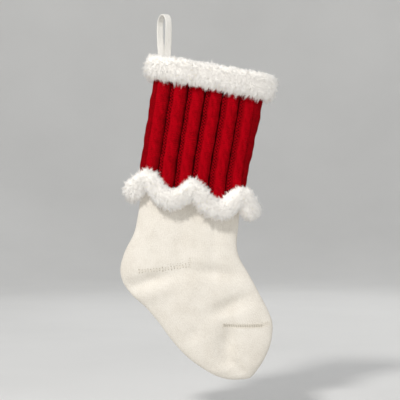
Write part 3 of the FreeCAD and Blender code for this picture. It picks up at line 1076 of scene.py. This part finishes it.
def cuff_roll(f, angle):
    """Surface of the cuff's base: angle 0 faces out, a quarter turn faces down."""
    power = 0.75 + 0.25 * np.exp(-(side_distance(f) / 0.05) ** 2)
    c, s = oval(angle, power)
    lump = 0.5 * np.sin(f * TURN * 9 + 1.0) + 0.35 * np.sin(f * TURN * 23 + angle * 2)
    toe_share = 1 - 2 * np.abs((f % 1.0) - 0.5)
    reach = np.where(s < 0, 12.4, 8.6 + 2.6 * toe_share)
    return skin(f, -0.8 + (reach + lump) * s, SLEEVE_STACK + 5.4 + (5.4 + 0.5 * lump) * c)


def hem_roll(f, angle):
    """Surface of the hem's base, following the scallops and flaring with the free edge."""
    c, s = np.cos(angle), np.sin(angle)
    middle = hem_middle(f)
    lump = 0.5 * np.sin(f * TURN * 13 + 0.4) + 0.4 * np.sin(f * TURN * 29 + angle * 2)
    slope = (hem_middle(f + 0.002) - hem_middle(f - 0.002)) / (0.004 * CLOTH_WIDTH)
    stretch = np.sqrt(1 + slope ** 2)
    along = middle + (7.6 + lump) * stretch * s
    outset = SLEEVE_STACK + 4.4 + hem_flare(f, middle) + (6.6 + 0.4 * lump) * c
    return skin(f, along, outset)


def frame_on(roll, f, angle):
    """Points and outward normals of a roll."""
    points = roll(f, angle)
    along_f = roll(f + 0.0008, angle) - roll(f - 0.0008, angle)
    along_angle = roll(f, angle + 0.02) - roll(f, angle - 0.02)
    normals = unit(np.cross(along_f, along_angle))
    centre = (roll(f, angle * 0 + math.pi / 2) + roll(f, angle * 0 - math.pi / 2)) / 2
    wrong = np.sum(normals * (points - centre), axis=-1) < 0
    normals[wrong] *= -1
    return points, normals


def make_roll_core(name, roll, slot, cad_node):
    """Solid base of a fur roll, which the strands grow from."""
    columns, sides = 420, 36
    f = (np.arange(columns) / columns)[:, None]
    angle = (np.arange(sides) * TURN / sides)[None, :]
    f, angle = np.broadcast_arrays(f, angle)
    points, normals = frame_on(roll, f, angle)
    tuft = 0.35 * np.sin(f * 1900 + 3 * np.sin(angle * 5)) * np.sin(angle * 17 + f * 700)
    points = points + normals * tuft[..., None]
    made = new_object(name, points, grid_faces(columns, sides, True, True))
    finish_piece(made, slot, FUR_CORE, cad_node)


def nearest_lock(a, b, rng):
    """Centre and number of the nearest lock for every root, from a jittered grid of locks."""
    table = rng.random((*LOCK_TABLE, 2))
    best = np.full(a.shape, 1e9)
    centre_a, centre_b = a.copy(), b.copy()
    key = np.zeros(a.shape, int)
    for step_a in (-1, 0, 1):
        for step_b in (-1, 0, 1):
            i = np.floor(a / LOCK_CELL).astype(int) + step_a
            j = np.floor(b / LOCK_CELL).astype(int) + step_b
            row, column = i % LOCK_TABLE[0], j % LOCK_TABLE[1]
            jitter = table[row, column]
            ca, cb = (i + jitter[:, 0]) * LOCK_CELL, (j + jitter[:, 1]) * LOCK_CELL
            far = (ca - a) ** 2 + (cb - b) ** 2
            closer = far < best
            best = np.where(closer, far, best)
            centre_a, centre_b = np.where(closer, ca, centre_a), np.where(closer, cb, centre_b)
            key = np.where(closer, row * LOCK_TABLE[1] + column, key)
    return centre_a, centre_b, key


def fringe_share(f, angle, fringes):
    """Where the fur grows longer: at the roll's lower and upper edge, and at the leg's sides."""
    share = fringes[0] * np.exp(-((angle - 1.45) / 0.55) ** 2)
    share += fringes[1] * np.exp(-((angle + 1.5) / 0.5) ** 2)
    return share + 0.2 * np.exp(-(side_distance(f) / 0.035) ** 2)


def grow(roll, count, length, angles, comb, fringes, rng):
    """Roots, bends and tips of the strands, with the normals, angles and locks they grow from."""
    f = rng.random(count)
    angle = angles[0] + (angles[1] - angles[0]) * rng.random(count)
    lock_a, lock_b, key = nearest_lock(f * FUR_AROUND, angle * FUR_OVER, rng)
    roots, normals = frame_on(roll, f, angle)
    down_roll = unit(roll(f, angle + 0.03) - roll(f, angle - 0.03))
    lay = (comb[0] + comb[1] * np.sin(angle * 0.9 + 0.5))[:, None]
    locks = rng.normal(size=(LOCKS, 3))
    share = fringe_share(f, angle, fringes)
    lock_long = length * (1 + 0.50 * share) * (0.85 + 0.3 * rng.random(LOCKS))[key]
    long = lock_long * (0.75 + 0.35 * rng.random(count))
    aim = 0.95 * normals + lay * down_roll + 0.24 * locks[key]
    free = roots + (aim + rng.normal(size=(count, 3)) * 0.16) * long[:, None]
    lock = roll(lock_a / FUR_AROUND, lock_b / FUR_OVER) + aim * lock_long[:, None]
    hold = np.clip(0.12 + 0.35 * rng.random(count) + 0.10 * share, 0, 0.85)[:, None]
    tips = free * (1 - hold) + lock * hold
    bends = roots + normals * (0.5 * long)[:, None] + rng.normal(size=(count, 3)) * 0.12
    return roots, bends, tips, normals, angle, key, locks


def strand_corners(roots, bends, tips, normals, lean, across):
    """Corners of every strand, as two rings of three and a tip, with their normals."""
    points, turned = [], []
    for t, radius in STRAND_RINGS:
        centre = roots * (1 - t) ** 2 + bends * 2 * t * (1 - t) + tips * t * t
        run = (bends - roots) * (1 - t) + (tips - bends) * t
        side = unit(np.cross(run, across))
        out = unit(np.cross(run, side))
        for spin in (0, TURN / 3, 2 * TURN / 3):
            away = side * math.cos(spin) + out * math.sin(spin)
            points.append(centre + away * radius)
            turned.append(normals + 0.75 * away + lean)
    return np.stack(points + [tips], axis=1), unit(np.stack(turned + [normals + lean], axis=1))


def make_fur(name, roll, count, length, angles, comb, fringes, seed, cad_node):
    """Thousands of fine tapered strands, combed over the roll, in pieces of three tints."""
    rng = np.random.default_rng(seed)
    grown = grow(roll, count, length, angles, comb, fringes, rng)
    roots, bends, tips, normals, angle, key, locks = grown
    points, turned = strand_corners(roots, bends, tips, normals, 0.18 * locks[key],
                                    locks[(key * 7 + 3) % LOCKS])
    strays = rng.random(count) < 0.45
    tints = (key + strays * (1 + (rng.random(count) < 0.5))) % len(FURS)
    # Strands on the roll's lower side take the darkest tint: painted shade under the roll
    tints[step_between(0.7, 1.5, angle) > 0.5 + 0.3 * locks[key, 0]] = FUR_UNDERSIDE_SHADE
    for tint, material in enumerate(FURS):
        chosen = np.flatnonzero(tints == tint)
        for part, first in enumerate(range(0, len(chosen), STRANDS_PER_PIECE)):
            some = chosen[first:first + STRANDS_PER_PIECE]
            offset = (np.arange(len(some)) * 7)[:, None, None]
            made = new_object(f"{name}_{tint}_{part}", points[some],
                              (STRAND_QUADS + offset).reshape(-1, 4),
                              (STRAND_ENDS + offset).reshape(-1, 3))
            made.data.normals_split_custom_set_from_vertices(turned[some].reshape(-1, 3).tolist())
            finish_piece(made, "fur", material, cad_node)


make_sock()
make_toe_seam()
make_gores()
make_sleeve_panel("knit_sleeve_front", 0.0, 0.5)
make_sleeve_panel("knit_sleeve_back", 0.5, 1.0)
make_side_seam("sleeve_seam_heel_side", 0.0)
make_side_seam("sleeve_seam_toe_side", 0.5)
make_hem_binding()
make_mouth_binding()
make_tape()
make_bar_tack()
make_roll_core("cuff_backing", cuff_roll, "backing", "cuff_backing")
make_roll_core("hem_base", hem_roll, "fur", "hem_fur")
make_fur("cuff_pile", cuff_roll, 105000, length=6.0, angles=(-2.7, 2.1), comb=(0.15, 0.30),
         fringes=(1.0, 0.1), seed=5, cad_node="cuff_pile")
make_fur("hem_fur", hem_roll, 115000, length=5.6, angles=(-2.4, 2.4), comb=(0.05, 0.30),
         fringes=(0.8, 0.8), seed=9, cad_node="hem_fur")
